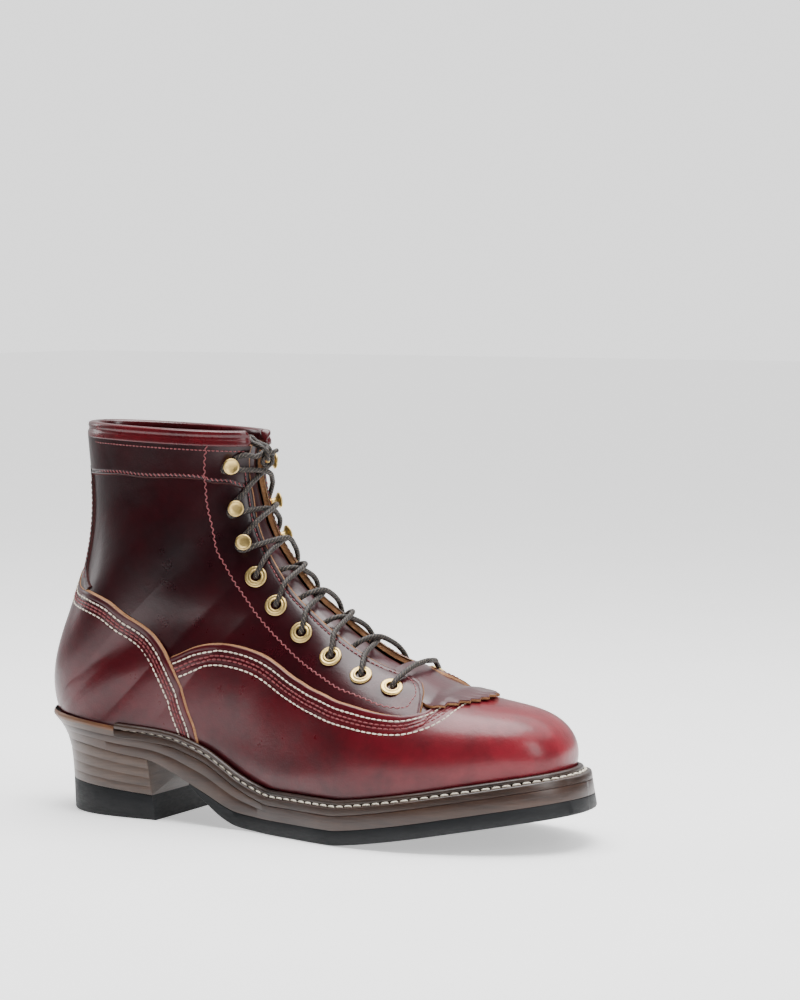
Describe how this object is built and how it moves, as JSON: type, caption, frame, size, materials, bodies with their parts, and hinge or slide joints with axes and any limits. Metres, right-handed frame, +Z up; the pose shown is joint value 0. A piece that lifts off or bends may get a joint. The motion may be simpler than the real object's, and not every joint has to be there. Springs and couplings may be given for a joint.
{
  "type": "logger boot",
  "caption": "Right ankle-high logger boot in oxblood leather, laced to the toe over a pinked false tongue, with a welted leather and rubber sole and a high stacked heel.",
  "frame": {"origin": "bottom centre of the whole boot's box, on the floor it stands on", "axes": "+X from heel to toe, +Y to the inner (medial) side, +Z up"},
  "size_m": [0.3041, 0.1109, 0.2021],
  "materials": {
    "oxblood_leather": "oiled, semi-gloss",
    "oxblood_binding": "soft, semi-gloss",
    "lining_leather": "undyed, matte",
    "sole_leather": "burnished edge",
    "black_rubber": "matte",
    "brass": "polished",
    "waxed_cord": "waxed braid"
  },
  "bodies": {
    "root": {"upper": "oxblood_leather", "vamp": "oxblood_leather", "counter": "oxblood_leather", "backstay": "oxblood_leather", "tongue": "oxblood_leather", "false_tongue": "oxblood_leather", "collar_roll": "oxblood_binding", "insole": "lining_leather", "midsole": "sole_leather", "welt": "sole_leather", "rand": "sole_leather", "heel_stack": "sole_leather", "rubber_sole": "black_rubber", "heel_lift": "black_rubber", "eyelet_lateral_1": "brass", "eyelet_lateral_2": "brass", "eyelet_lateral_3": "brass", "eyelet_lateral_4": "brass", "eyelet_lateral_5": "brass", "eyelet_lateral_6": "brass", "eyelet_medial_1": "brass", "eyelet_medial_2": "brass", "eyelet_medial_3": "brass", "eyelet_medial_4": "brass", "eyelet_medial_5": "brass", "eyelet_medial_6": "brass", "hook_lateral_1": "brass", "hook_lateral_2": "brass", "hook_lateral_3": "brass", "hook_medial_1": "brass", "hook_medial_2": "brass", "hook_medial_3": "brass", "lace_cross_1": "waxed_cord", "lace_cross_2": "waxed_cord", "lace_cross_3": "waxed_cord", "lace_cross_4": "waxed_cord", "lace_cross_5": "waxed_cord", "lace_cross_6": "waxed_cord", "lace_cross_7": "waxed_cord", "lace_cross_8": "waxed_cord", "lace_bar": "waxed_cord", "lace_knot": "waxed_cord", "lace_end_lateral": "waxed_cord", "lace_end_medial": "waxed_cord"}
  },
  "joints": []
}
